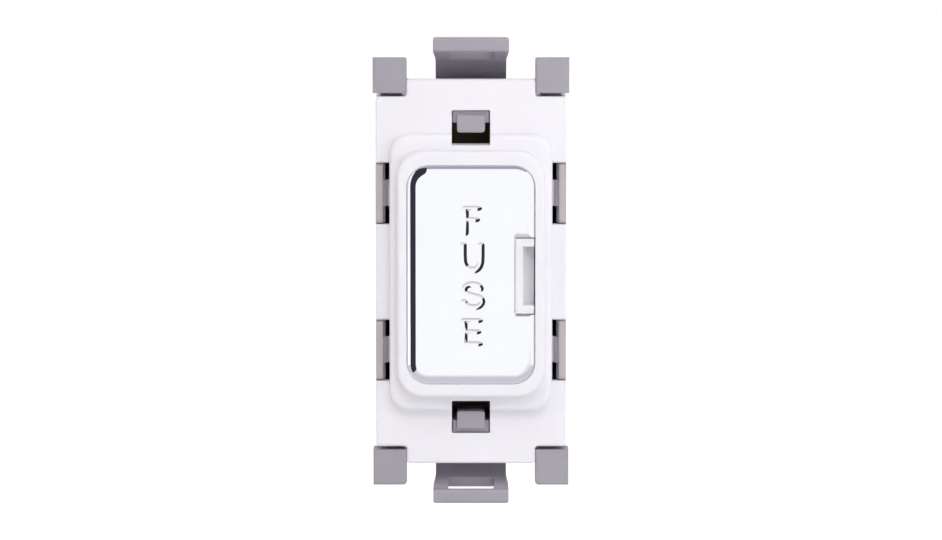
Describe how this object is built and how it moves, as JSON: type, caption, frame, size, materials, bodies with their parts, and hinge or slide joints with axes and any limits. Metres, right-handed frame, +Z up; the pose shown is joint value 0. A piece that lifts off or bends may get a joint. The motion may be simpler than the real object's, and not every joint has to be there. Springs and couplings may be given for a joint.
{
  "type": "fused outlet",
  "caption": "Grid module with a white stepped front, grey snap-in housing and a chromed pull-out carrier that holds a cartridge fuse.",
  "frame": {"origin": "module centre in the plane where the corner blocks' rear faces seat on the grid frame", "axes": "+X right and +Z up as seen from the front, +Y into the wall; the front faces -Y"},
  "size_m": [0.0248, 0.0298, 0.0592],
  "materials": {
    "white_moulding": "moulded urea, low gloss",
    "grey_moulding": "moulded thermoplastic, satin",
    "carrier_white": "moulded thermoplastic",
    "chromed_cover": "polished chrome plating on plastic",
    "fuse_ceramic": "unglazed tube",
    "plated_cap": "bright nickel plating",
    "fuse_wire": "drawn wire",
    "contact_brass": "stamped strip",
    "spring_steel": "bent strip",
    "terminal_brass": "extruded and machined",
    "screw_brass": "turned, slotted"
  },
  "bodies": {
    "module": {"front_plate": "white_moulding", "housing": "grey_moulding", "contact_clip_upper": "contact_brass", "contact_clip_lower": "contact_brass", "contact_spring_upper": "spring_steel", "contact_spring_lower": "spring_steel", "terminal_block_supply": "terminal_brass", "terminal_block_load": "terminal_brass"},
    "fuse_carrier": {"carrier_body": "carrier_white", "carrier_cover": "chromed_cover", "fuse_barrel": "fuse_ceramic", "fuse_cap_upper": "plated_cap", "fuse_cap_lower": "plated_cap", "fuse_element": "fuse_wire"},
    "supply_screw": {"terminal_screw_supply": "screw_brass"},
    "load_screw": {"terminal_screw_load": "screw_brass"}
  },
  "joints": [
    {"name": "carrier_slide", "type": "slide", "parent": "module", "child": "fuse_carrier", "axis": [0, -1, 0], "range_m": [0, 0.011]},
    {"name": "supply_screw_feed", "type": "slide", "parent": "module", "child": "supply_screw", "axis": [0, -1, 0], "range_m": [0, 0.003]},
    {"name": "load_screw_feed", "type": "slide", "parent": "module", "child": "load_screw", "axis": [0, -1, 0], "range_m": [0, 0.003]}
  ]
}
